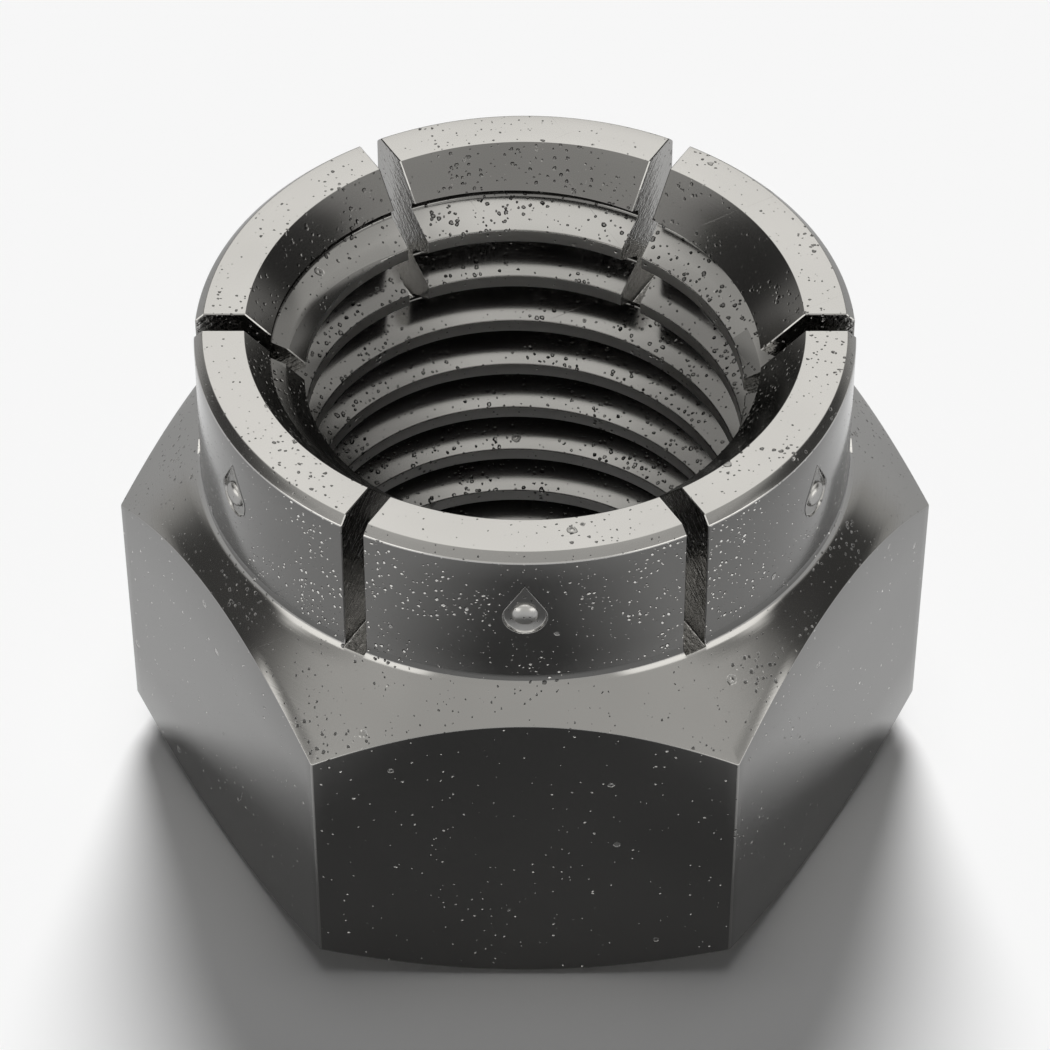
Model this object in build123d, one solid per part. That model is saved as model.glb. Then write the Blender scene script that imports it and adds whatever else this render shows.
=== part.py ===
"""Flex lock nut: a one-piece hexagon nut whose slotted collar grips the bolt.

The nut is turned and milled from one bar. A hexagon carries a round collar, six saw cuts part
the collar into fingers, and the thread runs through both. A dent struck in the middle of each
finger leans it inward, so the thread is a little tight at the top and holds the bolt by friction.

Millimetres. The origin is the centre of the bearing face, +Z runs up the thread to the fingers,
and the corners of the hexagon and the saw cuts lie at 0, 60, 120 degrees and so on from +X.
"""
import os
from math import ceil, cos, radians, sin, sqrt, tan

from build123d import *

# Hexagon
across_flats = 36.51
nut_height = 28.95
bearing_diameter = 35.3
bearing_chamfer_angle = 30.0

# Collar
collar_diameter = 33.3
collar_height = 8.45
finger_lean = 0.05
rim_chamfer = 0.44
collar_fillet = 1.0
shoulder_angle = 45.0

# Bore and thread, one inch with eight turns to the inch
bore_diameter = 22.3
groove_diameter = 25.8
pitch = 3.175
flank_angle = 30.0
groove_floor = 0.40
crest_below_top = 4.03
mouth_diameter = 28.12
mouth_angle = 82.0
entry_diameter = 26.6
entry_angle = 90.0

# Fingers
finger_count = 6
slot_width = 1.2
slot_depth = 8.6

# Dent in each finger, a drop with its point up and a low dome in it
dent_radius = 1.06
dent_point = 2.08
dent_below_top = 4.06
dent_depth = 0.32
dome_radius = 0.64
dome_height = 0.32
dome_above_dent_centre = 0.16

# How far a cutting tool runs past the metal that it cuts
overrun = 2.0
groove_overrun = 0.3

FINGER_PITCH = 360.0 / finger_count


def corner_radius():
    """Distance from the axis to a corner of the hexagon."""
    return across_flats / sqrt(3)


def turned_blank():
    """The nut as it leaves the lathe: collar, shoulder, full round where the hexagon will be."""
    outer = corner_radius() + overrun
    collar = collar_diameter / 2
    bearing = bearing_diameter / 2
    collar_base = nut_height - collar_height
    rim_base = nut_height - rim_chamfer
    shoulder_drop = (outer - collar) * tan(radians(shoulder_angle))
    bearing_rise = (outer - bearing) * tan(radians(bearing_chamfer_angle))
    outline = Polyline(
        (0, 0),
        (bearing, 0),
        (outer, bearing_rise),
        (outer, collar_base - shoulder_drop),
        (collar, collar_base),
        (collar - finger_lean, rim_base),
        (collar - finger_lean - rim_chamfer, nut_height),
        (0, nut_height),
        close=True,
    )
    section = make_face(outline)
    root = section.vertices().sort_by_distance((collar, collar_base))[0]
    section = fillet(root, collar_fillet)
    return revolve(Plane.XZ * section, Axis.Z)


def hexagon_bar():
    """The bar stock, with corners on the X axis."""
    return extrude(RegularPolygon(corner_radius(), 6), nut_height)


def bore_tool():
    """The drilled hole with its countersinks at both ends."""
    bore = bore_diameter / 2
    mouth = mouth_diameter / 2
    entry = entry_diameter / 2
    mouth_slope = 1 / tan(radians(mouth_angle / 2))
    entry_slope = 1 / tan(radians(entry_angle / 2))
    outline = Polyline(
        (0, -overrun),
        (entry + overrun / entry_slope, -overrun),
        (bore, (entry - bore) * entry_slope),
        (bore, nut_height - (mouth - bore) * mouth_slope),
        (mouth + overrun / mouth_slope, nut_height + overrun),
        (0, nut_height + overrun),
        close=True,
    )
    return revolve(Plane.XZ * make_face(outline), Axis.Z)


def groove_turn():
    """One turn of the groove: a trapezium swept up a right-hand helix, its start on the X axis."""
    inner = bore_diameter / 2 - groove_overrun
    outer = groove_diameter / 2
    inner_width = groove_floor + 2 * (outer - inner) * tan(radians(flank_angle))
    section = Polyline(
        (inner, -inner_width / 2),
        (outer, -groove_floor / 2),
        (outer, groove_floor / 2),
        (inner, inner_width / 2),
        close=True,
    )
    path = Helix(pitch, pitch, outer)
    return sweep(Plane.XZ * make_face(section), path, is_frenet=True)


def thread_tools():
    """Turns of the groove laid end to end, from below the bearing face to above the fingers."""
    crest_at_back = nut_height - crest_below_top
    groove_on_x_axis = crest_at_back - pitch / 2 - pitch / 4
    lowest = groove_on_x_axis - pitch * ceil(groove_on_x_axis / pitch + 1)
    count = ceil((nut_height - lowest) / pitch) + 1
    turn = groove_turn()
    return [Pos(0, 0, lowest + k * pitch) * turn for k in range(count)]


def slot_tools():
    """Saw cuts across the collar, each one parting two opposite pairs of fingers."""
    length = 2 * corner_radius() + overrun
    height = slot_depth + overrun
    cut = Pos(0, 0, nut_height - slot_depth + height / 2) * Box(length, slot_width, height)
    return [Rot(0, 0, k * FINGER_PITCH) * cut for k in range(finger_count // 2)]


def finger_angles():
    """Azimuth of the middle of each finger, in degrees."""
    return [(k + 0.5) * FINGER_PITCH for k in range(finger_count)]


def on_finger(azimuth, radius, height):
    """A plane on the collar that faces outward, with its own Y axis up."""
    a = radians(azimuth)
    outward = (cos(a), sin(a), 0)
    along = (-sin(a), cos(a), 0)
    return Plane((radius * cos(a), radius * sin(a), height), x_dir=along, z_dir=outward)


def dent_outline():
    """A circle with two tangents that meet at a point above it."""
    reach = sqrt(dent_point**2 - dent_radius**2)
    touch_x = dent_radius * reach / dent_point
    touch_y = dent_radius**2 / dent_point
    sides = Polyline((-touch_x, touch_y), (0, dent_point), (touch_x, touch_y))
    round_end = ThreePointArc((touch_x, touch_y), (0, -dent_radius), (-touch_x, touch_y))
    return make_face(sides + round_end)


def dent_tool(azimuth):
    """What the punch takes out of one finger: a flat-floored drop, less the dome that it leaves."""
    floor_radius = collar_diameter / 2 - dent_depth
    height = nut_height - dent_below_top
    seat = on_finger(azimuth, floor_radius, height)
    drop = seat * extrude(dent_outline(), dent_depth + overrun)
    ball_radius = (dome_radius**2 + dome_height**2) / (2 * dome_height)
    ball = Sphere(ball_radius)
    dome = seat * Pos(0, dome_above_dent_centre, dome_height - ball_radius) * ball
    return drop - dome


def lock_nut():
    """The finished nut, one solid."""
    nut = turned_blank() & hexagon_bar()
    nut -= bore_tool()
    nut -= thread_tools()
    nut -= slot_tools()
    nut -= [dent_tool(a) for a in finger_angles()]
    return nut


def main():
    os.makedirs("parts", exist_ok=True)
    nut = lock_nut()
    solids = nut.solids()
    print("solids", len(solids), "volume", round(nut.volume, 1), "valid", nut.is_valid)
    solid = solids[0]
    solid.label = "lock_nut"
    export_step(solid, "parts/lock_nut.step")


main()
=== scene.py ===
"""Flex lock nut in dark polished steel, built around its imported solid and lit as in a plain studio.

The sizes below are millimetres and degrees. A mesh is built in millimetres and brought to metres
when it becomes an object, so that it stands where the solid stands.
"""
import logging
from collections.abc import Iterator
from contextlib import contextmanager
from dataclasses import dataclass, replace
from enum import Enum
from math import acos, atan, ceil, cos, degrees, pi, radians, sin, sqrt, tan

import bmesh
import bpy
import numpy as np
from mathutils import Matrix, Vector

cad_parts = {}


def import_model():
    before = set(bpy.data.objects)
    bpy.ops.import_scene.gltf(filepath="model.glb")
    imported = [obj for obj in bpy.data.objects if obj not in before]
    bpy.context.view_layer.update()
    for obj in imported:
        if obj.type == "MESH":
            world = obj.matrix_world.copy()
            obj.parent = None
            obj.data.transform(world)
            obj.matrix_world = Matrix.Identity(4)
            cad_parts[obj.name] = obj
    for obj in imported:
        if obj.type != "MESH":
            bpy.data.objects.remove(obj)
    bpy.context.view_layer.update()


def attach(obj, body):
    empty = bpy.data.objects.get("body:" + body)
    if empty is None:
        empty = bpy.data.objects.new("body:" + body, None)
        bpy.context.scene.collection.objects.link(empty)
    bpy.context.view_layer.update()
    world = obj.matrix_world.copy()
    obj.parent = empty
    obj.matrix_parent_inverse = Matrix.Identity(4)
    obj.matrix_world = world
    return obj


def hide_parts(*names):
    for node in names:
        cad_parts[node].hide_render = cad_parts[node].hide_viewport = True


LOG = logging.getLogger("lock_nut")
MM = 0.001
SIDES = 6
SIDE_ANGLE = 360.0 / SIDES
MERGE = 1e-5
FAR = 1000.0

Array = np.ndarray
Pair = tuple[float, float]
Line = list[Pair]
Mesh = bpy.types.Mesh
GeometryTree = bpy.types.GeometryNodeTree
Socket = bpy.types.NodeSocket


class Surface(Enum):
    """The kinds of surface on the nut; each has its own finish, and several finishes carry painted light or
    shade in their colour.
    """

    FLATS = 0
    SHOULDER = 1
    COLLAR = 2
    TOP = 3
    COUNTERSINK = 4
    THREAD = 5
    SLOT = 6
    DENT = 7
    DOME = 8
    LEAD = 9
    LAND = 10
    FOOT = 11
    EDGE = 12


class NodeTree:
    """A thin helper that adds nodes to a shader or geometry tree and links them."""

    def __init__(self, tree: bpy.types.NodeTree) -> None:
        """Start from an empty tree.

        Args:
            tree: The node tree to fill.
        """
        self.tree = tree
        self.tree.nodes.clear()

    def add(self, kind: str, *sources: object, **settings: object) -> bpy.types.Node:
        """Add one node.

        Args:
            kind: The node's type name.
            sources: What feeds its first inputs, in order: a socket, a value, or None to skip.
            settings: Properties of the node to set before its inputs are fed.

        Returns:
            The new node.
        """
        node = self.tree.nodes.new(kind)
        for name, value in settings.items():
            setattr(node, name, value)
        for socket, source in zip(node.inputs, sources):
            self.feed(socket, source)
        return node

    def feed(self, socket: Socket, source: object) -> None:
        """Link a socket to another, or give it a value.

        Args:
            socket: The input to feed.
            source: A socket to link, a value to set, or None to leave it alone.
        """
        if source is None:
            return
        if isinstance(source, Socket):
            self.tree.links.new(source, socket)
        else:
            socket.default_value = source

    def sockets(self, inputs: dict[str, str], output: str) -> bpy.types.bpy_prop_collection:
        """Give a geometry tree its inputs and its one output.

        Args:
            inputs: The kind of each input, by name.
            output: Name of the output, a geometry.

        Returns:
            The inputs as sockets to read, by name.
        """
        for name, kind in inputs.items():
            self.tree.interface.new_socket(name, in_out="INPUT", socket_type=f"NodeSocket{kind}")
        self.tree.interface.new_socket(output, in_out="OUTPUT", socket_type="NodeSocketGeometry")
        return self.add("NodeGroupInput").outputs

    def math(self, operation: str, *sources: object) -> Socket:
        """Add a Math node and return its result."""
        return self.add("ShaderNodeMath", *sources, operation=operation).outputs[0]

    def chain(self, operation: str, first: object, *others: object) -> Socket:
        """Apply a Math operation to any number of values, from left to right.

        Args:
            operation: The operation.
            first: The value that it starts from.
            others: The values that follow.

        Returns:
            The result.
        """
        for other in others:
            first = self.math(operation, first, other)
        return first

    def ramp(self, value: object, low: float, high: float) -> Socket:
        """Rise smoothly from 0 to 1.

        Args:
            value: The socket that is read.
            low: Value at which the result is 0.
            high: Value at which the result is 1.

        Returns:
            A socket between 0 and 1.
        """
        node = self.add("ShaderNodeMapRange", value, low, high, 0.0, 1.0,
                        interpolation_type="SMOOTHSTEP")
        return node.outputs[0]

    def vector(self, operation: str, *sources: object, output: int = 0) -> Socket:
        """Add a Vector Math node and return its vector, output 0, or its value, output 1."""
        return self.add("ShaderNodeVectorMath", *sources, operation=operation).outputs[output]

    def combined(self, x: object, y: object, z: object) -> Socket:
        """Make a vector of three coordinates, and return it."""
        return self.add("ShaderNodeCombineXYZ", x, y, z).outputs[0]

    def noise(self, place: object, scale: float, detail: float = 2.0, output: int = 0) -> Socket:
        """Add a noise.

        Args:
            place: The coordinates that it reads.
            scale: How many of its features there are in a unit of length.
            detail: Octaves on top of the first.
            output: 0 for its value, 1 for its colour.

        Returns:
            The noise.
        """
        return self.add("ShaderNodeTexNoise", place, None, scale, detail).outputs[output]


@dataclass(frozen=True)
class NutSizes:
    """Sizes of the nut; all but the dent's depth and the dome are those of its solid."""

    across_flats: float = 36.51
    height: float = 28.95
    bearing_radius: float = 17.65
    bearing_chamfer: float = 30.0
    collar_radius: float = 16.65
    collar_height: float = 8.45
    finger_lean: float = 0.05
    rim_chamfer: float = 0.44
    collar_fillet: float = 1.0
    crest_radius: float = 11.15
    groove_radius: float = 12.9
    pitch: float = 3.175
    flank_angle: float = 30.0
    groove_floor: float = 0.4
    crest_below_top: float = 4.03
    mouth_radius: float = 14.06
    mouth_angle: float = 82.0
    entry_radius: float = 13.3
    entry_angle: float = 90.0
    finger_count: int = 6
    slot_width: float = 1.2
    slot_depth: float = 8.6
    dent_radius: float = 1.06
    dent_point: float = 2.08
    dent_below_top: float = 4.06
    dent_depth: float = 0.19
    dome_radius: float = 0.68
    dome_height: float = 0.37
    dome_rise: float = 0.13

    @property
    def apothem(self) -> float:
        """Distance from the axis to a flat."""
        return self.across_flats / 2

    @property
    def corner(self) -> float:
        """Distance from the axis to a corner."""
        return self.across_flats / sqrt(3)

    @property
    def collar_base(self) -> float:
        """Height at which the collar meets the shoulder."""
        return self.height - self.collar_height

    @property
    def slot_foot(self) -> float:
        """Height of the slots' floor."""
        return self.height - self.slot_depth


def rounded(points: Line, radii: list[float], steps: int) -> Line:
    """Round the inner corners of an open line with arcs.

    Args:
        points: The line's corners.
        radii: One radius for each corner; 0 leaves the corner alone.
        steps: Straight pieces in each arc.

    Returns:
        The rounded line's points.
    """
    line = []
    for i, (point, radius) in enumerate(zip(points, radii)):
        if radius == 0 or i in (0, len(points) - 1):
            line.append(point)
            continue
        here = Vector(point)
        back = (Vector(points[i - 1]) - here).normalized()
        on = (Vector(points[i + 1]) - here).normalized()
        half = back.angle(on) / 2
        centre = here + (back + on).normalized() * (radius / sin(half))
        start = here + back * (radius / tan(half)) - centre
        end = here + on * (radius / tan(half)) - centre
        turn = start.angle(end)
        for k in range(steps + 1):
            t = k / steps
            a = sin((1 - t) * turn) / sin(turn)
            b = sin(t * turn) / sin(turn)
            line.append(tuple(centre + start * a + end * b))
    return line


def divided(points: Line, spans: dict[int, int]) -> Line:
    """Divide some spans of a line evenly.

    Args:
        points: The line's points.
        spans: Number of pieces for the span that starts at each listed point.

    Returns:
        The line with its added points.
    """
    line = []
    for i, point in enumerate(points[:-1]):
        pieces = spans.get(i, 1)
        for k in range(pieces):
            t = k / pieces
            line.append(tuple(a + (b - a) * t for a, b in zip(point, points[i + 1])))
    return line + [points[-1]]


@contextmanager
def drafted(mesh: Mesh) -> Iterator[bmesh.types.BMesh]:
    """Open a mesh for editing, and write it back at the end.

    Args:
        mesh: The mesh.

    Yields:
        The mesh as it is edited.
    """
    draft = bmesh.new()
    draft.from_mesh(mesh)
    yield draft
    draft.to_mesh(mesh)
    draft.free()


def in_scene(name: str, data: bpy.types.ID) -> bpy.types.Object:
    """Make an object and put it in the scene.

    Args:
        name: The object's name.
        data: Its mesh, light or camera.

    Returns:
        The object.
    """
    item = bpy.data.objects.new(name, data)
    bpy.context.scene.collection.objects.link(item)
    return item


def ring_mesh(name: str, rings: Array) -> Mesh:
    """Skin a stack of closed rings, and close it where an end ring shrinks to a point.

    Args:
        name: The mesh's name.
        rings: Points as an array of rings, points in a ring, and coordinates.

    Returns:
        A closed mesh with its faces outward.
    """
    count, around, _ = rings.shape
    index = np.arange(count * around).reshape(count, around)
    right = np.roll(index, -1, axis=1)
    quads = np.stack([index[:-1], right[:-1], right[1:], index[1:]], axis=-1).reshape(-1, 4)
    mesh = bpy.data.meshes.new(name)
    mesh.from_pydata(rings.reshape(-1, 3).tolist(), [], quads.tolist())
    with drafted(mesh) as draft:
        bmesh.ops.remove_doubles(draft, verts=draft.verts, dist=MERGE)
        bmesh.ops.recalc_face_normals(draft, faces=draft.faces)
        if draft.calc_volume(signed=True) < 0:
            bmesh.ops.reverse_faces(draft, faces=draft.faces)
    return mesh


def evaluated(name: str, tree: GeometryTree, values: dict[str, object],
              mesh: Mesh | None = None) -> Mesh:
    """Run a geometry tree on a mesh and keep the result as a plain mesh.

    Args:
        name: Name of the result.
        tree: The tree.
        values: Its inputs by name.
        mesh: The mesh that it starts from, if any.

    Returns:
        The plain mesh.
    """
    holder = in_scene(name, mesh or bpy.data.meshes.new(name))
    modifier = holder.modifiers.new(name, "NODES")
    modifier.node_group = tree
    for item in tree.interface.items_tree:
        if item.item_type == "SOCKET" and item.in_out == "INPUT" and item.name in values:
            modifier[item.identifier] = values[item.name]
    holder.update_tag()
    depsgraph = bpy.context.evaluated_depsgraph_get()
    result = bpy.data.meshes.new_from_object(holder.evaluated_get(depsgraph))
    result.name = name
    bpy.data.objects.remove(holder)
    return result


@dataclass
class Blank:
    """The turned and milled bar before it is drilled: a rounded section for every azimuth.

    The three factors multiply the edges' rounding at the bearing face, the rim and the mouth.
    The core inset is how far within the thread's crests both countersinks are carried on.
    """

    sizes: NutSizes
    columns_per_side: int = 40
    corner_rounding: float = 0.15
    edge_rounding: float = 0.1
    bearing_factor: float = 1.5
    rim_factor: float = 1.4
    mouth_factor: float = 0.6
    core_inset: float = 1.2
    arc_steps: int = 4
    slack: float = 1.0001

    def azimuths(self) -> list[float]:
        """Place the columns: evenly round the nut, with more of them on each rounded corner.

        Returns:
            Their angles from the X axis, in degrees.
        """
        tangent = degrees(0.5 * self.corner_rounding / self.sizes.corner)
        near = [-tangent, -tangent / 2, 0.0, tangent / 2, tangent]
        step = SIDE_ANGLE / self.columns_per_side
        side = near + [k * step for k in range(1, self.columns_per_side)]
        return [SIDE_ANGLE * k + a for k in range(SIDES) for a in side]

    def hexagon_radius(self, azimuth: float) -> float:
        """Distance from the axis to the hexagon with its rounded corners.

        Args:
            azimuth: Angle from a corner, in degrees.

        Returns:
            The distance.
        """
        rounding = self.corner_rounding
        offset = radians(min(azimuth % SIDE_ANGLE, SIDE_ANGLE - azimuth % SIDE_ANGLE))
        centre = self.sizes.corner - rounding / sin(radians(SIDE_ANGLE))
        reach = rounding**2 - (centre * sin(offset)) ** 2
        tangent = atan(0.5 * rounding / (centre + rounding * cos(pi / SIDES)))
        if offset <= tangent * self.slack and reach > 0:
            return centre * cos(offset) + sqrt(reach)
        return self.sizes.apothem / cos(radians(SIDE_ANGLE / 2) - offset)

    def section(self, azimuth: float) -> Line:
        """Draw the blank's section at one azimuth, from the axis below to the axis above.

        Args:
            azimuth: Angle from a corner, in degrees.

        Returns:
            Points as radius and height.
        """
        s = self.sizes
        side = self.hexagon_radius(azimuth)
        core = s.crest_radius - self.core_inset
        entry_slope = 1 / tan(radians(s.entry_angle / 2))
        mouth_slope = 1 / tan(radians(s.mouth_angle / 2))
        entry_end = (s.entry_radius - core) * entry_slope
        mouth_end = s.height - (s.mouth_radius - core) * mouth_slope
        rise = (side - s.bearing_radius) * tan(radians(s.bearing_chamfer))
        rim = s.collar_radius - s.finger_lean
        edge = self.edge_rounding
        # Radius and height of each corner, its rounding, and the pieces of the span after it
        corners = [
            (0.0, entry_end, 0, 1),
            (core, entry_end, 0, 1),
            (s.entry_radius, 0.0, edge, 2),
            (s.bearing_radius, 0.0, self.bearing_factor * edge, 1),
            (side, rise, edge, 4),
            (side, s.collar_base - (side - s.collar_radius), edge, 5),
            (s.collar_radius, s.collar_base, s.collar_fillet, 6),
            (rim, s.height - s.rim_chamfer, self.rim_factor * edge, 1),
            (rim - s.rim_chamfer, s.height, edge, 3),
            (s.mouth_radius, s.height, self.mouth_factor * edge, 4),
            (core, mouth_end, 0, 1),
            (0.0, mouth_end, 0, 1),
        ]
        line = rounded([(r, z) for r, z, _, _ in corners], [c[2] for c in corners], self.arc_steps)
        spans = {}
        last = -1
        for _, _, rounding, pieces in corners:
            last += self.arc_steps + 1 if rounding else 1
            spans[last] = pieces
        return divided(line, spans)

    def mesh(self) -> Mesh:
        """Skin the sections into one closed mesh.

        Returns:
            The blank, in millimetres.
        """
        azimuths = self.azimuths()
        sections = np.array([self.section(a) for a in azimuths])
        turn = np.radians(azimuths)[:, None]
        rings = np.stack([sections[:, :, 0] * np.cos(turn),
                          sections[:, :, 0] * np.sin(turn),
                          sections[:, :, 1]], axis=-1)
        return ring_mesh("blank", rings.transpose(1, 0, 2))


@dataclass
class ThreadPlug:
    """The bore and its thread as one solid plug, which the nut has in it as a hole."""

    sizes: NutSizes
    columns: int = 240
    crest_rounding: float = 0.1
    root_rounding: float = 0.22
    arc_steps: int = 3
    overrun: float = 1.5
    merge: float = 2e-4

    def profile(self) -> Line:
        """Draw one pitch of the thread, from the middle of a crest to the middle of the next.

        Returns:
            Points as height and radius.
        """
        s = self.sizes
        depth = s.groove_radius - s.crest_radius
        edge = s.groove_floor / 2 + depth * tan(radians(s.flank_angle))
        corners = [
            (-s.pitch / 2, s.crest_radius),
            (-edge, s.crest_radius),
            (-s.groove_floor / 2, s.groove_radius),
            (s.groove_floor / 2, s.groove_radius),
            (edge, s.crest_radius),
            (s.pitch / 2, s.crest_radius),
        ]
        crest = self.crest_rounding
        root = self.root_rounding
        line = rounded(corners, [0, crest, root, root, crest, 0], self.arc_steps)
        step = self.arc_steps + 1
        return divided(line, {step: 2, 3 * step: 2})

    def tree(self) -> GeometryTree:
        """Build the node tree that winds the profile up the helix.

        Returns:
            The tree, with the thread's sizes as named inputs.
        """
        tree = bpy.data.node_groups.new("thread_plug", "GeometryNodeTree")
        nodes = NodeTree(tree)
        lengths = ("Pitch", "Turns", "Start", "Low End", "High End", "Crest Radius", "Depth")
        size = nodes.sockets({**dict.fromkeys(lengths, "Float"), "Columns": "Int", "Rows": "Int"}, "Plug")
        grid = nodes.add("GeometryNodeMeshGrid", size["Turns"], 1.0, size["Columns"], size["Rows"])
        parts = nodes.add("ShaderNodeSeparateXYZ", nodes.add("GeometryNodeInputPosition").outputs[0]).outputs
        # The grid lies round its middle, so half of its size is added on both axes
        turns = nodes.math("MULTIPLY_ADD", size["Turns"], 0.5, parts["X"])
        across = nodes.math("ADD", parts["Y"], 0.5)
        profile = self.profile()
        heights = [(z / self.sizes.pitch + 0.5) for z, _ in profile]
        depth = self.sizes.groove_radius - self.sizes.crest_radius
        radii = [(r - self.sizes.crest_radius) / depth for _, r in profile]
        rise = nodes.math("ADD", turns, self.curve(nodes, across, heights))
        height = nodes.math("MULTIPLY_ADD", rise, size["Pitch"], size["Start"])
        groove = self.curve(nodes, across, radii)
        radius = nodes.math("MULTIPLY_ADD", groove, size["Depth"], size["Crest Radius"])
        low = nodes.math("MAXIMUM", height, size["Low End"])
        level = nodes.math("MINIMUM", low, size["High End"])
        above = nodes.math("GREATER_THAN", height, size["Low End"])
        below = nodes.math("LESS_THAN", height, size["High End"])
        radius = nodes.math("MULTIPLY", radius, nodes.math("MULTIPLY", above, below))
        angle = nodes.math("MULTIPLY", turns, 2 * pi)
        place = nodes.combined(nodes.math("MULTIPLY", radius, nodes.math("COSINE", angle)),
                               nodes.math("MULTIPLY", radius, nodes.math("SINE", angle)),
                               level)
        wound = nodes.add("GeometryNodeSetPosition", grid.outputs[0], None, place)
        merged = nodes.add("GeometryNodeMergeByDistance", wound.outputs[0], None, self.merge)
        nodes.add("NodeGroupOutput", merged.outputs[0])
        return tree

    @staticmethod
    def curve(nodes: NodeTree, across: Socket, values: list[float]) -> Socket:
        """Read a line of evenly spaced values.

        Args:
            nodes: The tree to add to.
            across: Place on the line, from 0 to 1.
            values: The values on it, each between 0 and 1.

        Returns:
            The value at that place.
        """
        node = nodes.add("ShaderNodeFloatCurve", 1.0, across)
        mapping = node.mapping
        curve = mapping.curves[0]
        last = len(values) - 1
        for _ in range(last - 1):
            curve.points.new(0.5, 0.5)
        for k, value in enumerate(values):
            curve.points[k].location = (k / last, value)
        for point in curve.points:
            point.handle_type = "VECTOR"
        mapping.update()
        return node.outputs[0]

    def mesh(self) -> Mesh:
        """Evaluate the tree.

        Returns:
            The plug as a closed mesh, in millimetres.
        """
        s = self.sizes
        low = -self.overrun
        high = s.height + self.overrun
        crest_at_back = s.height - s.crest_below_top
        # The back is a quarter turn on from the X axis, where the helix starts
        turns_below = ceil((crest_at_back - low) / s.pitch) + 2.25
        start = crest_at_back - s.pitch * turns_below
        turns = ceil((high - start) / s.pitch) + 1
        values = {"Pitch": s.pitch, "Turns": float(turns), "Start": start, "Low End": low,
                  "High End": high, "Crest Radius": s.crest_radius,
                  "Depth": s.groove_radius - s.crest_radius,
                  "Columns": self.columns * turns + 1, "Rows": len(self.profile())}
        return evaluated("thread_plug", self.tree(), values)


@dataclass
class SawBlade:
    """The slitting saw's path across the collar, and the break that is put on the edges it leaves."""

    sizes: NutSizes
    corner_rounding: float = 0.04
    edge_break: float = 0.05
    arc_steps: int = 4
    overrun: float = 2.0
    core_inset: float = 1.0
    foot_gap: float = 0.02

    def mesh(self) -> Mesh:
        """Make the cut along the X axis, with the small round that the saw's teeth leave at its foot.

        Returns:
            The cut as a closed mesh, in millimetres.
        """
        s = self.sizes
        half = s.slot_width / 2
        foot = s.slot_foot
        head = s.height + self.overrun
        corners = [(0.0, foot), (half, foot), (half, head), (0.0, head)]
        side = rounded(corners, [0, self.corner_rounding, 0, 0], self.arc_steps)
        outline = np.array(side[:-1] + [(-y, z) for y, z in side[1:-1]][::-1])
        middle = np.array([[0.0, (foot + head) / 2]])
        reach = s.corner + self.overrun
        rings = []
        for x, spread in ((-reach, 0.0), (-reach, 1.0), (reach, 1.0), (reach, 0.0)):
            flat = middle + (outline - middle) * spread
            rings.append(np.column_stack([np.full(len(flat), x), flat]))
        return ring_mesh("saw_blade", np.array(rings))

    def edge_mesh(self, section: Line) -> Mesh:
        """Make the break for both edges of the cut at azimuth 0: a thin square bar along each edge.

        Args:
            section: The blank's section there, as radius and height.

        Returns:
            The two bars as closed meshes, in millimetres.
        """
        s = self.sizes
        half = s.slot_width / 2
        foot = s.slot_foot
        core = s.crest_radius - self.core_inset
        line = [(r, z) for r, z in section if z > foot + self.foot_gap and r > core]
        path = np.array([(sqrt(r * r - half * half), z) for r, z in line])
        path = np.vstack([[path[0][0] + path[0][1] - foot, foot], path])
        run = np.gradient(path, axis=0)
        out = np.column_stack([run[:, 1], -run[:, 0]])
        out /= np.linalg.norm(out, axis=1, keepdims=True)
        stations = [(0.0, path[0], out[0]), *[(self.edge_break, p, n) for p, n in zip(path, out)],
                    (0.0, path[-1], out[-1])]
        sides = [(1, 0), (0, 1), (-1, 0), (0, -1)]
        bars = bpy.data.meshes.new("edge_bars")
        with drafted(bars) as draft:
            for y in (-half, half):
                stack = [[(x + dx * a * size, y + b * size, z + dz * a * size) for a, b in sides]
                         for size, (x, z), (dx, dz) in stations]
                draft.from_mesh(ring_mesh("edge_bar", np.array(stack)))
        return bars


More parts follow.
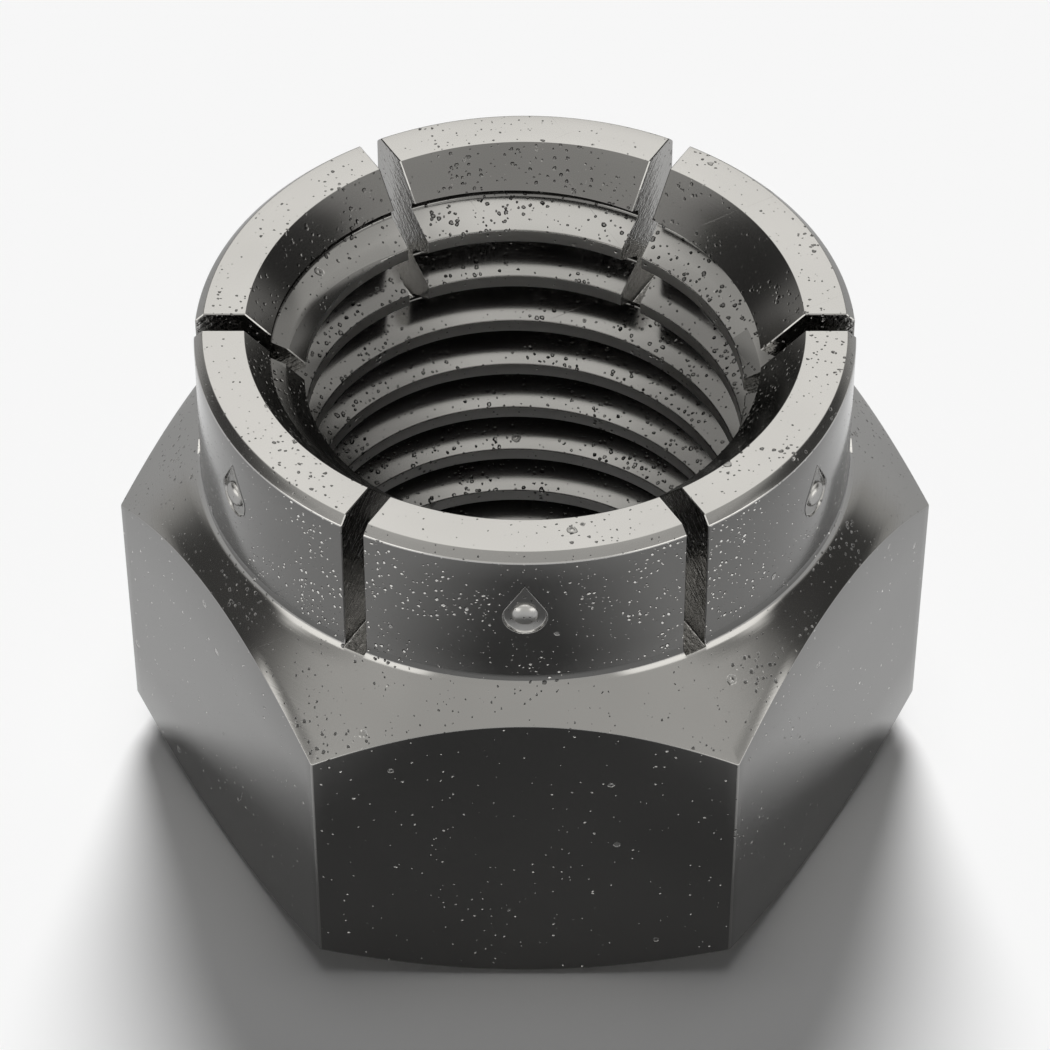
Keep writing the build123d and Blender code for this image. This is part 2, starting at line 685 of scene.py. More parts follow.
@dataclass
class DentPunch:
    """The struck mark: a drop with a rounded rim and a bowl for its floor, its lip and its dome.

    Insets are measured inward from the outline and heights up from the collar's surface. The
    floor is deepest at the height `lowest` over the drop's centre.
    """

    sizes: NutSizes
    around: int = 96
    head: float = 1.0
    head_margin: float = 0.4
    rim_rounding: float = 0.03
    rim_turn: float = 60.0
    rim_steps: int = 4
    wall_inset: float = 0.045
    foot_margin: float = 0.006
    foot_height: float = 0.01
    floor_insets: Pair = (0.02, 0.035)
    floor_rings: int = 8
    point_depth: float = 0.02
    lower_depth: float = 0.075
    lowest: float = -0.2
    dome_rings: int = 10
    dome_root: float = 0.1
    lip_height: float = 0.015
    lip_width: float = 0.018
    lip_shift: float = 0.2
    lip_level: float = 0.6
    lip_sides: int = 8

    def outline(self) -> Array:
        """Draw the drop: a circle with two tangents that meet above it.

        Returns:
            Points round the drop, from its point on, as tangential and upward offsets.
        """
        s = self.sizes
        half = self.around // 2
        touch = acos(s.dent_radius / s.dent_point)
        side = half // 3
        points = []
        for k in range(half + 1):
            if k < side:
                turn = touch * k / side
                reach = s.dent_radius / cos(touch - turn)
            else:
                turn = touch + (pi - touch) * (k - side) / (half - side)
                reach = s.dent_radius
            points.append((reach * sin(turn), reach * cos(turn)))
        mirrored = [(-u, v) for u, v in points[1:-1]][::-1]
        return np.array(points + mirrored)

    def spokes(self) -> tuple[Array, Array, Array]:
        """Aim from the middle of the dome at the outline.

        Returns:
            The middle, the direction of each outline point from it, and its distance.
        """
        middle = np.array([0.0, self.sizes.dome_rise])
        spoke = self.outline() - middle
        reach = np.linalg.norm(spoke, axis=1, keepdims=True)
        return middle, spoke / reach, reach

    def placed(self, rings: list[tuple[float | Array, float | Array, float]]) -> Array:
        """Put rings in the place of the finger at azimuth 0.

        Args:
            rings: For each one its distance along the spokes, its height, and 1 where it follows
                the collar's round surface or 0 where it lies in a plane.

        Returns:
            Their points in millimetres.
        """
        s = self.sizes
        middle, aim, _ = self.spokes()
        stack = []
        for distance, out, follow in rings:
            flat = middle + aim * distance
            sag = follow * flat[:, 0] ** 2 / (2 * s.collar_radius)
            stack.append(np.column_stack([s.collar_radius + np.ravel(out) - sag, flat[:, 0],
                                          flat[:, 1] + (s.height - s.dent_below_top)]))
        return np.array(stack)

    def floor(self, distance: Array) -> Array:
        """Shape the floor: deepest under the dome, rising to the point and to the lower rim.

        Args:
            distance: How far out on its spoke each point of a ring lies.

        Returns:
            Height above the collar's surface, which is negative.
        """
        s = self.sizes
        middle, aim, _ = self.spokes()
        up = (middle + aim * distance)[:, 1:] - self.lowest
        length = np.where(up > 0, s.dent_point - self.lowest, s.dent_radius + self.lowest)
        edge = np.where(up > 0, self.point_depth, self.lower_depth)
        return (s.dent_depth - edge) * (up / length) ** 2 - s.dent_depth

    def mesh(self) -> Mesh:
        """Skin what the punch takes out.

        Returns:
            The punch as a closed mesh, in millimetres.
        """
        *_, reach = self.spokes()
        wide = reach + self.rim_rounding
        top = self.lip_height * self.lip_level
        rings = [(reach * 0, self.head, 0.0), (wide + self.head_margin, self.head, 0.0)]
        for k in range(self.rim_steps + 1):
            turn = radians(self.rim_turn * k / self.rim_steps)
            inset = self.rim_rounding * sin(turn)
            rings.append((wide - inset, top - self.rim_rounding * (1 - cos(turn)), 1.0))
        foot = reach - self.wall_inset
        rings.append((foot + self.foot_margin, self.floor(foot) + self.foot_height, 0.0))
        outer, inner = [foot - inset for inset in self.floor_insets]
        shares = range(self.floor_rings, -1, -1)
        for distance in (outer, *[inner * k / self.floor_rings for k in shares]):
            rings.append((distance, self.floor(distance), 0.0))
        return ring_mesh("dent_punch", self.placed(rings))

    def dome_mesh(self) -> Mesh:
        """Skin the dome that stands on the floor of the dent, on every second spoke.

        Returns:
            The dome, with its foot sunk in the floor, in millimetres.
        """
        s = self.sizes
        root = -self.dome_root - s.dent_depth
        rings = [(0.0, root, 0.0), (s.dome_radius, root, 0.0)]
        for k in range(self.dome_rings + 1):
            turn = radians(90 * k / self.dome_rings)
            rings.append((s.dome_radius * cos(turn), s.dome_height * sin(turn) - s.dent_depth, 0.0))
        return ring_mesh("dent_dome", self.placed(rings)[:, ::2])

    def lip_mesh(self) -> Mesh:
        """Skin the small lip of metal that the punch raises round the dent.

        Returns:
            A thin ring, half sunk in the collar's surface, in millimetres.
        """
        *_, reach = self.spokes()
        rings = []
        for k in range(self.lip_sides):
            turn = radians(360 / self.lip_sides * k)
            distance = reach + self.rim_rounding + self.lip_width * (self.lip_shift + cos(turn))
            rings.append((distance, self.lip_height * sin(turn), 1.0))
        slices = self.placed(rings).transpose(1, 0, 2)
        return ring_mesh("dent_lip", np.concatenate([slices, slices[:1]]))


class FaceSorter:
    """Tells by place and normal which kind of surface each face of the nut belongs to.

    What it knows of a face: its radius and height z, and the parts of its normal away from the
    axis (outward) and along it (level). For one side of the nut it adds the face's place out
    from the axis and across the flat, its height over the dent's centre (up), its height above
    the collar's surface (off), its distance from the dome's middle, its place along and beside
    the slot, and how squarely it faces out.
    """

    def __init__(self, sizes: NutSizes, mesh: Mesh) -> None:
        """Read the faces and sort them.

        Args:
            sizes: The nut's sizes.
            mesh: The nut, in millimetres.
        """
        self.sizes = sizes
        self.centre, self.normal = [self.read(mesh, field) for field in ("center", "normal")]
        radius = np.hypot(self.centre[:, 0], self.centre[:, 1])
        flow = (self.centre[:, :2] * self.normal[:, :2]).sum(axis=1)
        self.known = {"radius": radius, "z": self.centre[:, 2], "level": self.normal[:, 2],
                      "outward": flow / np.maximum(radius, MERGE)}
        self.kinds = np.full(len(radius), Surface.THREAD.value)
        self.mark_turned()
        for k in range(sizes.finger_count):
            self.mark_side(SIDE_ANGLE * k)

    @staticmethod
    def read(mesh: Mesh, field: str) -> Array:
        """Read one vector of every face.

        Args:
            mesh: The mesh.
            field: The vector's name.

        Returns:
            The vectors as rows.
        """
        values = np.zeros(len(mesh.polygons) * 3, np.float32)
        mesh.polygons.foreach_get(field, values)
        return values.reshape(-1, 3).astype(float)

    @staticmethod
    def turned(vectors: Array, azimuth: float) -> tuple[Array, Array]:
        """Split vectors at an azimuth.

        Args:
            vectors: The vectors as rows.
            azimuth: Angle from the X axis, in degrees.

        Returns:
            Their parts along the azimuth and across it.
        """
        turn = radians(azimuth)
        along = vectors[:, 0] * cos(turn) + vectors[:, 1] * sin(turn)
        return along, -vectors[:, 0] * sin(turn) + vectors[:, 1] * cos(turn)

    def mark(self, surface: Surface, **bounds: Pair) -> None:
        """Mark the faces that lie within all bounds.

        Args:
            surface: What they are marked as.
            bounds: The least and the most of anything known of a face.
        """
        inside = np.ones(len(self.kinds), bool)
        for name, (low, high) in bounds.items():
            inside &= (self.known[name] > low) & (self.known[name] < high)
        self.kinds[inside] = surface.value

    def mark_turned(self) -> None:
        """Mark what is alike all round the axis; a later kind overrules an earlier one."""
        s = self.sizes
        slope = sin(radians(s.mouth_angle / 2))
        rim = s.height - s.rim_chamfer
        collar = {"radius": (s.groove_radius, FAR), "z": (s.collar_base - 0.1, FAR)}
        # Lands: their light colour is painted light.
        self.mark(Surface.LAND, level=(-0.3, 0.3), radius=(0.0, s.crest_radius + 0.03))
        # Lead flank: its lighter colour is painted light.
        self.mark(Surface.LEAD, level=(0.8, FAR), z=(s.height - s.crest_below_top, FAR))
        self.mark(Surface.SHOULDER, radius=(s.groove_radius + 0.3, FAR))
        self.mark(Surface.SHOULDER, outward=(0.1, FAR))
        # Countersink: it shares the bore's darker colour, which is painted shade.
        self.mark(Surface.COUNTERSINK, level=(slope - 0.02, slope + 0.02), outward=(-FAR, -0.5),
                  z=(s.height - 4.0, FAR))
        # Foot of the collar: its darker colour is painted shade.
        self.mark(Surface.FOOT, outward=(0.93, FAR), **collar)
        # Collar: its dark colour is painted shade, as on the flats and foot.
        self.mark(Surface.COLLAR, outward=(0.999, FAR), **collar)
        self.mark(Surface.TOP, level=(0.3, FAR), outward=(-0.3, FAR), z=(rim, FAR))
        # Rim edge: its lighter colour is a painted highlight.
        self.mark(Surface.EDGE, outward=(0.74, 0.998), z=(rim - 0.15, FAR))

    def mark_side(self, azimuth: float) -> None:
        """Mark one flat, its finger's dent, and the slot at the corner before it.

        Args:
            azimuth: The corner's angle from the X axis, in degrees.
        """
        s = self.sizes
        known = self.known
        known["out"], known["across"] = self.turned(self.centre, azimuth + SIDE_ANGLE / 2)
        known["facing"], _ = self.turned(self.normal, azimuth + SIDE_ANGLE / 2)
        known["along"], known["beside"] = self.turned(self.centre, azimuth)
        known["up"] = known["z"] - (s.height - s.dent_below_top)
        lean = s.finger_lean * (known["z"] - s.collar_base) / (s.collar_height - s.rim_chamfer)
        known["off"] = known["radius"] - (s.collar_radius - lean)
        known["dome"] = np.hypot(known["across"], known["up"] - s.dome_rise)
        # Flats: their dark colour is painted shade.
        self.mark(Surface.FLATS, facing=(0.999, FAR), out=(s.apothem - 0.02, s.apothem + 0.02))
        floor = s.collar_radius - s.dent_depth
        wide = s.dent_radius + 0.3
        struck = {"out": (floor - 0.1, FAR), "across": (-wide, wide), "up": (-wide, s.dent_point + 0.3)}
        for off in ((-FAR, -0.015), (0.004, FAR)):
            self.mark(Surface.DENT, off=off, **struck)
            # Dent rims: their lighter colour is a painted highlight.
            self.mark(Surface.EDGE, off=off, facing=(-FAR, 0.965), **struck)
        # Dome: its lighter colour is painted light.
        self.mark(Surface.DOME, dome=(-FAR, s.dome_radius * 1.01), out=(floor + 0.02, FAR))
        half = s.slot_width / 2 + 0.003
        # Slot walls: their lighter colour is painted light.
        self.mark(Surface.SLOT, along=(0.0, FAR), beside=(-half, half), z=(s.slot_foot - 0.003, FAR))


@dataclass
class LockNut:
    """The whole nut: a blank with its thread, saw cuts and dents taken out."""

    sizes: NutSizes
    sharp_angle: float = 34.0
    weld: float = 0.002
    break_azimuth: float = 2.0

    def cuts(self, operations: dict[str, str]) -> GeometryTree:
        """Build the node tree that repeats the saw cuts and dents and takes them out.

        Args:
            operations: What is done with each tool, in order.

        Returns:
            The tree, with the tools and sizes as named inputs.
        """
        tree = bpy.data.node_groups.new("nut_cuts", "GeometryNodeTree")
        nodes = NodeTree(tree)
        size = nodes.sockets({"Blank": "Geometry", **dict.fromkeys(operations, "Object"),
                              "Fingers": "Int", "Steel": "Material"}, "Nut")
        fingers = size["Fingers"]
        whole = 2 * pi
        # How often a tool is repeated, the angle that its copies share, and where the first stands
        repeats = {"Blade": (nodes.math("MULTIPLY", fingers, 0.5), pi, 0.0),
                   "Edges": (fingers, whole, 0.0), "Punch": (fingers, whole, 0.5),
                   "Lip": (fingers, whole, 0.5), "Dome": (fingers, whole, 0.5)}
        result = size["Blank"]
        for name, operation in operations.items():
            tool = nodes.add("GeometryNodeObjectInfo", size[name]).outputs["Geometry"]
            if name in repeats:
                tool = self.repeated(nodes, tool, *repeats[name])
            cut = nodes.add("GeometryNodeMeshBoolean", operation=operation, solver="MANIFOLD")
            nodes.feed(cut.inputs["Mesh 1" if operation == "DIFFERENCE" else "Mesh 2"], result)
            nodes.feed(cut.inputs["Mesh 2"], tool)
            result = cut.outputs[0]
        plain = nodes.add("GeometryNodeRealizeInstances", result)
        smooth = nodes.add("GeometryNodeSetShadeSmooth", plain.outputs[0])
        dressed = nodes.add("GeometryNodeSetMaterial", smooth.outputs[0], None, size["Steel"])
        nodes.add("NodeGroupOutput", dressed.outputs[0])
        return tree

    @staticmethod
    def repeated(nodes: NodeTree, tool: Socket, count: Socket, sweep: float, offset: float) -> Socket:
        """Repeat a tool round the axis.

        Args:
            nodes: The tree to add to.
            tool: The tool's geometry, in its place at azimuth 0.
            count: How many there are.
            sweep: The angle that they share, in radians.
            offset: Place of the first, as a share of the angle between two.

        Returns:
            The tools as plain geometry.
        """
        points = nodes.add("GeometryNodePoints", count)
        index = nodes.add("GeometryNodeInputIndex").outputs[0]
        apart = nodes.math("DIVIDE", sweep, count)
        turn = nodes.math("MULTIPLY", nodes.math("ADD", index, offset), apart)
        spin = nodes.combined(0.0, 0.0, turn)
        spread = nodes.add("GeometryNodeInstanceOnPoints", points.outputs[0], None, tool, None, None, spin)
        return nodes.add("GeometryNodeRealizeInstances", spread.outputs[0]).outputs[0]

    def welded(self, mesh: Mesh) -> None:
        """Take out the hair-thin faces that the cuts leave.

        Args:
            mesh: The nut, in millimetres; it is changed.
        """
        with drafted(mesh) as draft:
            bmesh.ops.remove_doubles(draft, verts=draft.verts, dist=self.weld)
            bmesh.ops.dissolve_degenerate(draft, edges=draft.edges, dist=self.weld / 4)

    def build(self, finishes: dict[Surface, "SteelFinish"]) -> None:
        """Make the nut, dress it and put it in place of its solid.

        Args:
            finishes: The finish of every kind of surface.
        """
        s = self.sizes
        materials = [SteelShader(finishes[kind], kind).material() for kind in Surface]
        blank = Blank(s)
        saw = SawBlade(s)
        punch = DentPunch(s)
        makers = {"Plug": (ThreadPlug(s).mesh(), "DIFFERENCE"),
                  "Blade": (saw.mesh(), "DIFFERENCE"),
                  "Edges": (saw.edge_mesh(blank.section(self.break_azimuth)), "DIFFERENCE"),
                  "Lip": (punch.lip_mesh(), "UNION"),
                  "Punch": (punch.mesh(), "DIFFERENCE"),
                  "Dome": (punch.dome_mesh(), "UNION")}
        tools = {}
        for name, (tool_mesh, _) in makers.items():
            tools[name] = in_scene(name, tool_mesh)
            LOG.info("%s: %d faces", name, len(tool_mesh.polygons))
        values = {"Fingers": s.finger_count, "Steel": materials[Surface.SHOULDER.value], **tools}
        cuts = self.cuts({name: operation for name, (_, operation) in makers.items()})
        mesh = evaluated("steel_nut", cuts, values, blank.mesh())
        for tool in tools.values():
            bpy.data.objects.remove(tool)
        self.welded(mesh)
        kinds = FaceSorter(s, mesh).kinds
        mesh.materials.clear()
        for material in materials:
            mesh.materials.append(material)
        mesh.polygons.foreach_set("material_index", kinds.astype(np.int32))
        mesh.transform(Matrix.Scale(MM, 4))
        mesh.set_sharp_from_angle(angle=radians(self.sharp_angle))
        nut = in_scene("steel_nut", mesh)
        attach(nut, "root")
        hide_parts("lock_nut")
        LOG.info("steel_nut: %d faces, %s", len(mesh.polygons),
                 {kind.name: int((kinds == kind.value).sum()) for kind in Surface})


@dataclass(frozen=True)
class SteelFinish:
    """Dark polished steel with fine pits, shallow pores, hair scratches and turning marks; the tone mixed
    into pits and pores is painted: painted shade on bright finishes, painted glints on dark ones.

    Noise scales are features in a millimetre; shares and mixes run from 0 to 1.
    """

    color: float = 0.28
    warmth: float = 0.035
    edge_tint: float = 0.7
    roughness: float = 0.2
    rough_spread: float = 0.15
    # Tone mixed into pits and pores: painted shade on bright finishes, painted glints on dark ones.
    pit_painted_tone: float = 0.06
    pit_mix: float = 0.8
    pit_spacing: float = 0.32
    pit_radius: float = 0.155
    pit_depth: float = 0.07
    pit_share: float = 0.5
    slot_pits: float = 0.0
    crowd_scale: float = 0.25
    swirl_scale: float = 4.0
    swirl_size: float = 0.16
    pore_spacing: float = 2.6
    pore_radius: float = 0.32
    pore_depth: float = 0.03
    pore_mix: float = 0.4
    scratch_spacing: float = 1.7
    scratch_depth: float = 0.0015
    scratch_widths: Pair = (0.018, 0.004)
    turning_depth: float = 0.0006
    turning_scale: float = 9.0
    saw_depth: float = 0.0
    saw_radius: float = 32.0
    saw_scales: Pair = (3.0, 3.6)
    saw_stretch: float = 0.12
    mottle: float = 0.12
    mottle_scale: float = 0.13

    def tone(self, level: float) -> tuple[float, float, float, float]:
        """Give a level of grey the steel's slight warmth, and return the colour."""
        return (level, level * (1 - self.warmth * 0.3), level * (1 - self.warmth), 1.0)


class SteelShader(NodeTree):
    """Draws one finish in a material's nodes, on the object's own coordinates in millimetres.

    Each of the scratch ways is a direction across a set of scratches and one along it. The slot
    way tells the two ends of every slot apart, and the number step keeps scratches unlike.
    """

    SCRATCH_WAYS = (((0.79, 0.41, 0.45), (-0.55, 0.83, 0.1)), ((-0.38, 0.64, 0.67), (0.88, 0.47, 0.05)))
    SLOT_WAY = (0.5, 0.866, 0.0)
    NUMBER_STEP = 37.1

    def __init__(self, finish: SteelFinish, kind: Surface) -> None:
        """Start the material.

        Args:
            finish: The finish.
            kind: The kind of surface that it is for.
        """
        self.finish = finish
        self.result = bpy.data.materials.new(f"steel_{kind.name.lower()}")
        self.result.use_nodes = True
        super().__init__(self.result.node_tree)
        own = self.add("ShaderNodeTexCoord").outputs["Object"]
        self.place = self.vector("SCALE", own, None, None, 1 / MM)
        self.parts = self.add("ShaderNodeSeparateXYZ", self.place).outputs

    def spots(self, place: Socket, spacing: float, radius: float | Socket) -> Socket:
        """Scatter round spots of mixed size.

        Args:
            place: Coordinates in millimetres.
            spacing: Distance between spots.
            radius: Largest radius of a spot.

        Returns:
            0 in the middle of a spot, 1 on its edge, more outside.
        """
        cells = self.add("ShaderNodeTexVoronoi", place, None, 1 / spacing)
        chance = self.add("ShaderNodeSeparateXYZ", cells.outputs["Color"]).outputs[0]
        size = self.math("MULTIPLY_ADD", self.math("POWER", chance, 2.0), 0.6, 0.4)
        edge = self.math("DIVIDE", self.math("MULTIPLY", size, radius), spacing)
        return self.math("DIVIDE", cells.outputs["Distance"], edge)

    def by_slots(self) -> Socket:
        """Tell how near the slots are.

        Returns:
            -0.5 in the middle of a finger, rising to 0.5 beside its slots.
        """
        turn = self.math("DIVIDE", self.math("ARCTAN2", self.parts["Y"], self.parts["X"]), pi / 3)
        share = self.math("ABSOLUTE", self.math("SUBTRACT", self.math("FRACT", turn), 0.5))
        return self.math("MULTIPLY_ADD", share, 2.0, -0.5)

    def scratches(self, across: tuple[float, float, float], along: tuple[float, float, float]) -> Socket:
        """Draw a few long fine scratches, where parallel planes meet the surface.

        Args:
            across: Direction from one scratch to the next.
            along: Direction in which a scratch starts and stops.

        Returns:
            1 in a scratch, 0 beside it.
        """
        spacing = self.finish.scratch_spacing
        wide, narrow = self.finish.scratch_widths
        rank = self.math("DIVIDE", self.vector("DOT_PRODUCT", self.place, across, output=1), spacing)
        number = self.math("FLOOR", rank)
        chance = self.add("ShaderNodeTexWhiteNoise", None, number, noise_dimensions="1D").outputs[0]
        offset = self.math("MULTIPLY_ADD", chance, 0.8, 0.1)
        line = self.math("ABSOLUTE", self.math("SUBTRACT", self.math("FRACT", rank), offset))
        line = self.ramp(line, wide / spacing, narrow / spacing)
        run = self.vector("DOT_PRODUCT", self.place, along, output=1)
        mark = self.combined(run, self.math("MULTIPLY", number, self.NUMBER_STEP), 0.0)
        return self.math("MULTIPLY", line, self.ramp(self.noise(mark, 0.16, 0.0), 0.6, 0.7))

    def from_axis(self) -> tuple[Socket, Socket]:
        """Find the place without its height, and its distance from the axis."""
        flat = self.combined(self.parts["X"], self.parts["Y"], 0.0)
        return flat, self.vector("LENGTH", flat, output=1)

    def turning(self) -> Socket:
        """Draw the fine rings that a lathe tool leaves round the axis."""
        _, radius = self.from_axis()
        return self.noise(self.combined(radius, self.parts["Z"], 0.0), self.finish.turning_scale)

    def saw_marks(self) -> Socket:
        """Draw the arcs and lumps that a slitting saw leaves on the walls of its cut.

        Returns:
            Their height, from 0 to 2.
        """
        finish = self.finish
        flat, radius = self.from_axis()
        ahead = self.vector("DOT_PRODUCT", flat, self.SLOT_WAY, output=1)
        along = self.math("MULTIPLY", radius, self.math("SIGN", ahead))
        down = self.math("SUBTRACT", NutSizes().slot_foot + finish.saw_radius, self.parts["Z"])
        square = self.math("SUBTRACT", finish.saw_radius**2 + 1.0, self.math("MULTIPLY", down, down))
        phase = self.math("SUBTRACT", along, self.math("SQRT", square))
        mark = self.combined(phase, self.math("MULTIPLY", self.parts["Z"], finish.saw_stretch), 0.0)
        streak_scale, lump_scale = finish.saw_scales
        streaks = self.ramp(self.noise(mark, streak_scale), 0.35, 0.65)
        lumps = self.ramp(self.noise(self.place, lump_scale, 1.0), 0.4, 0.6)
        return self.math("ADD", streaks, lumps)

    def hollows(self) -> tuple[Socket, Socket]:
        """Draw the pits, which crowd in places, and the pores, which have a ring round a high middle.

        Returns:
            The pits and the pores, each 1 where it is deepest.
        """
        finish = self.finish
        swirl = self.noise(self.place, finish.swirl_scale, 1.0, output=1)
        swirl = self.vector("SUBTRACT", swirl, (0.5, 0.5, 0.5))
        bent = self.vector("MULTIPLY_ADD", swirl, (finish.swirl_size,) * 3, self.place)
        crowd = self.noise(self.place, finish.crowd_scale, 1.0)
        if finish.slot_pits:
            crowd = self.math("MULTIPLY_ADD", self.by_slots(), finish.slot_pits, crowd)
        crowd = self.ramp(crowd, 0.66 - 0.3 * finish.pit_share, 0.76 - 0.3 * finish.pit_share)
        crowd = self.math("MULTIPLY_ADD", crowd, 0.5, 0.5)
        pits = self.spots(bent, finish.pit_spacing, self.math("MULTIPLY", crowd, finish.pit_radius))
        pores = self.spots(bent, finish.pore_spacing, finish.pore_radius)
        pores = self.math("MULTIPLY", self.ramp(pores, 1.0, 0.75), self.ramp(pores, 0.2, 0.6))
        return self.ramp(pits, 1.0, 0.5), pores

    def material(self) -> bpy.types.Material:
        """Draw the finish and return the material."""
        finish = self.finish
        pits, pores = self.hollows()
        cloud = self.math("SUBTRACT", self.noise(self.place, finish.mottle_scale), 0.5)
        shade = self.math("MULTIPLY_ADD", cloud, 2 * finish.mottle, 1.0)
        # Pits and pores are mixed towards the pit tone: painted shade in the hollows of bright finishes,
        # painted glints in those of dark ones.
        hollow = self.math("MAXIMUM", pits, self.math("MULTIPLY", pores, finish.pore_mix))
        base = self.vector("SCALE", finish.tone(finish.color)[:3], None, None, shade)
        blend = self.add("ShaderNodeMix", self.math("MULTIPLY", hollow, finish.pit_mix), *[None] * 5, base,
                         finish.tone(finish.pit_painted_tone), data_type="RGBA")
        rough = self.math("MULTIPLY_ADD", cloud, finish.rough_spread, finish.roughness)
        rough = self.math("MULTIPLY_ADD", pores, finish.rough_spread, rough)
        scratches = self.chain("MAXIMUM", *[self.scratches(*ways) for ways in self.SCRATCH_WAYS])
        depth = self.math("MULTIPLY", pits, -finish.pit_depth)
        depth = self.math("MULTIPLY_ADD", pores, -finish.pore_depth, depth)
        depth = self.math("MULTIPLY_ADD", scratches, -finish.scratch_depth, depth)
        if finish.turning_depth:
            depth = self.math("MULTIPLY_ADD", self.turning(), finish.turning_depth, depth)
        if finish.saw_depth:
            depth = self.math("MULTIPLY_ADD", self.saw_marks(), finish.saw_depth, depth)
        bump = self.add("ShaderNodeBump")
        shader = self.add("ShaderNodeBsdfPrincipled")
        for socket, source in ((bump.inputs["Distance"], MM), (bump.inputs["Height"], depth),
                               (shader.inputs["Base Color"], blend.outputs[2]),
                               (shader.inputs["Metallic"], 1.0), (shader.inputs["Roughness"], rough),
                               (shader.inputs["Specular Tint"], (*(finish.edge_tint,) * 3, 1.0)),
                               (shader.inputs["Normal"], bump.outputs[0])):
            self.feed(socket, source)
        self.add("ShaderNodeOutputMaterial", shader.outputs[0])
        return self.result


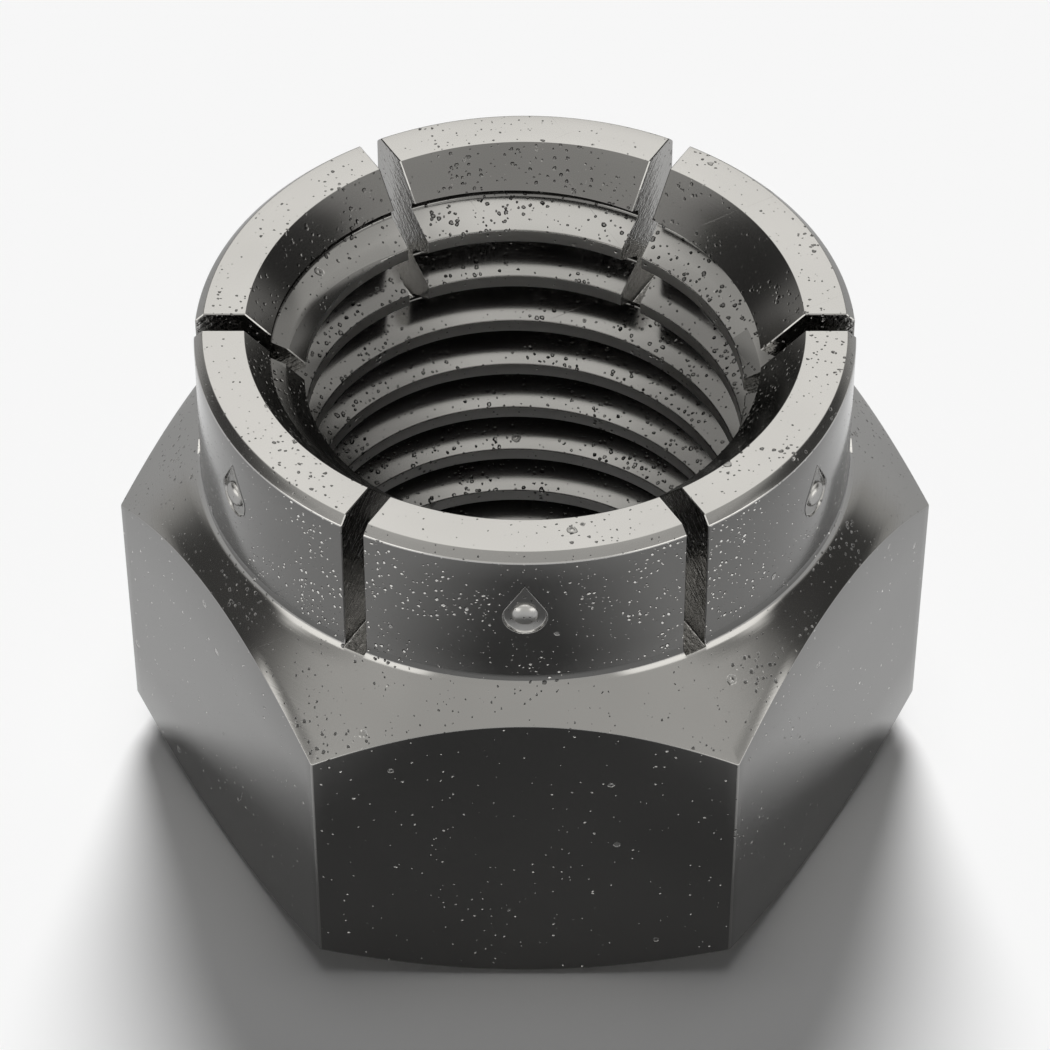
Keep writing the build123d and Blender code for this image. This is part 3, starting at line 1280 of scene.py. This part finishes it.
@dataclass
class Studio:
    """Floor, light and camera."""

    floor_radius: float = 3.0
    floor_shade: float = 0.92
    focal_length: float = 153.93
    camera_distance: float = 0.235
    camera_elevation: float = 44.83
    target_height: float = 0.01463
    key_elevation: float = 36.0
    key_strength: float = 4.35
    key_softness: float = 26.0
    top_strength: float = 0.36
    top_softness: float = 30.0
    ambient: float = 0.08
    side_strips: float = 2.2
    front_strips: float = 2.6
    tent_color: tuple[float, float, float, float] = (1.0, 0.985, 0.95, 1.0)

    def floor(self) -> None:
        """Lay a plain pale floor under the nut."""
        mesh = bpy.data.meshes.new("floor")
        with drafted(mesh) as draft:
            bmesh.ops.create_circle(draft, cap_ends=True, segments=96, radius=self.floor_radius)
        floor = in_scene("floor", mesh)
        material = bpy.data.materials.new("pale_floor")
        material.use_nodes = True
        shader = material.node_tree.nodes["Principled BSDF"]
        shader.inputs["Base Color"].default_value = (*(self.floor_shade,) * 3, 1.0)
        shader.inputs["Roughness"].default_value = 1.0
        shader.inputs["Specular IOR Level"].default_value = 0.0
        mesh.materials.append(material)

    def lamp(self, name: str, strength: float, softness: float, elevation: float) -> None:
        """Hang a soft light behind the nut; it lights the floor, and the metal mirrors the tent.

        Args:
            name: Name of the lamp.
            strength: Its strength in watts per square metre.
            softness: Width of its disc, in degrees.
            elevation: Its height above the horizon, in degrees.
        """
        light = bpy.data.lights.new(name, "SUN")
        light.energy = strength
        light.angle = radians(softness)
        lamp = in_scene(name, light)
        rise = radians(elevation)
        toward = Vector((0.0, cos(rise), sin(rise)))
        lamp.rotation_euler = toward.to_track_quat("Z", "Y").to_euler()
        lamp.visible_glossy = False

    def tent(self) -> None:
        """Make the light tent, which only the camera and the metal's mirror images see.

        It is a broad overhead cloth with a brighter middle, cloths in front and behind, bright
        strips low at both sides and in front of them, and a pale horizon with a dark gap over it.
        """
        world = bpy.data.worlds.new("tent")
        bpy.context.scene.world = world
        world.use_nodes = True
        nodes = NodeTree(world.node_tree)
        direction = nodes.add("ShaderNodeTexCoord").outputs["Generated"]
        parts = nodes.add("ShaderNodeSeparateXYZ", direction).outputs
        ways = {"across": nodes.math("ABSOLUTE", parts["X"]), "away": parts["Y"], "up": parts["Z"]}

        def cloth(level: float | Socket, **ramps: Pair) -> Socket:
            """Hang a cloth of some brightness that fades in along each listed way."""
            return nodes.chain("MULTIPLY", *[nodes.ramp(ways[way], *ramp) for way, ramp in ramps.items()],
                               level)

        middle = nodes.math("ADD", cloth(1.25, away=(-0.6, -0.3), across=(0.65, 0.25)), 1.02)
        cloths = [cloth(middle, up=(0.46, 0.54)),
                  cloth(1.0, away=(-0.3, -0.6)),
                  cloth(0.65, away=(0.4, 0.65)),
                  cloth(self.side_strips, across=(0.84, 0.93), up=(0.2, 0.12), away=(-0.05, -0.2)),
                  cloth(self.front_strips, across=(0.4, 0.52), up=(0.46, 0.4), away=(-0.1, -0.25)),
                  nodes.math("ADD", cloth(0.7, up=(0.13, 0.03)), 0.1)]
        seen = nodes.chain("MAXIMUM", *cloths)
        tent_light = nodes.add("ShaderNodeBackground", self.tent_color, seen)
        room_light = nodes.add("ShaderNodeBackground", (1.0, 1.0, 1.0, 1.0), self.ambient)
        path = nodes.add("ShaderNodeLightPath").outputs
        seen_by = nodes.chain("ADD", *[path[f"Is {ray} Ray"] for ray in ("Camera", "Glossy", "Transmission")])
        mix = nodes.add("ShaderNodeMixShader", seen_by, room_light.outputs[0], tent_light.outputs[0])
        nodes.add("ShaderNodeOutputWorld", mix.outputs[0])

    def camera(self) -> None:
        """Set up the camera at the photograph's angle."""
        lens = bpy.data.cameras.new("camera")
        lens.lens = self.focal_length
        lens.sensor_width = 36.0
        lens.clip_start = 0.01
        lens.clip_end = 10.0
        camera = in_scene("camera", lens)
        rise = radians(self.camera_elevation)
        back = Vector((0.0, -cos(rise), sin(rise)))
        camera.location = Vector((0.0, 0.0, self.target_height)) + back * self.camera_distance
        camera.rotation_euler = back.to_track_quat("Z", "Y").to_euler()
        bpy.context.scene.camera = camera

    def build(self) -> None:
        """Set up the whole studio."""
        self.floor()
        self.lamp("key", self.key_strength, self.key_softness, self.key_elevation)
        self.lamp("top", self.top_strength, self.top_softness, 90.0)
        self.tent()
        self.camera()
        bpy.context.scene.view_settings.view_transform = "Standard"


def finishes() -> dict[Surface, SteelFinish]:
    """Choose the finish of every kind of surface; some colours here are painted light or shade, as noted at
    each.

    Returns:
        The finishes by kind.
    """
    bright = SteelFinish()
    # The dark finish's low colour is painted shade: it stands in for the shaded floor that the flats, collar
    # and foot mirror. Its bright pit tone is painted glints.
    dark = SteelFinish(color=0.14, edge_tint=1.0, roughness=0.14, pit_painted_tone=0.8, pit_radius=0.125)
    untouched = replace(bright, turning_depth=0.0, pit_share=0.2)
    # The bore's lower colour and darker pits are painted shade: the thread and countersink are darkened as a
    # recess.
    bore = replace(bright, color=0.17, pit_painted_tone=0.12)
    return {
        Surface.FLATS: replace(dark, pit_share=0.9, pit_radius=0.1, pit_spacing=0.5, turning_depth=0.0),
        Surface.SHOULDER: replace(bright, roughness=0.14, pit_radius=0.13, scratch_depth=0.0005),
        Surface.COLLAR: replace(dark, pit_share=0.6, pit_spacing=0.28, slot_pits=0.25),
        Surface.TOP: replace(bright, pit_share=0.4, pit_radius=0.135),
        Surface.COUNTERSINK: replace(bore, pit_radius=0.135, pit_share=0.85),
        Surface.THREAD: replace(bore, roughness=0.18, pit_depth=0.09, pit_share=0.9),
        # The slot walls' lighter colour is painted light in the narrow cuts.
        Surface.SLOT: replace(untouched, color=0.38, roughness=0.17, pit_share=0.1, saw_depth=0.007),
        Surface.DENT: untouched,
        # The dome's lighter colour is painted light; its roughness is its own.
        Surface.DOME: replace(untouched, color=0.36, roughness=0.28, pit_share=0.1),
        # The lead flank's lighter colour is painted light: the top turn is lighter than the deeper thread,
        # which is in painted shade.
        Surface.LEAD: replace(bright, color=0.23, roughness=0.18, pit_share=0.7),
        # The lands' high colour is painted light; their roughness is their own.
        Surface.LAND: replace(bright, color=0.5, roughness=0.5, pit_share=0.5),
        # The foot's darker colour is painted shade in the fillet at the collar's base.
        Surface.FOOT: replace(dark, color=0.12, pit_share=0.3),
        # The edges' lighter colour is a painted highlight along the rim's lower edge and the dents' rims.
        Surface.EDGE: replace(untouched, color=0.42),
    }


def main() -> None:
    """Build the nut and its studio, in order."""
    logging.basicConfig(level=logging.INFO, format="%(name)s: %(message)s")
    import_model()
    LockNut(NutSizes()).build(finishes())
    Studio().build()


if __name__ == "__main__":
    main()
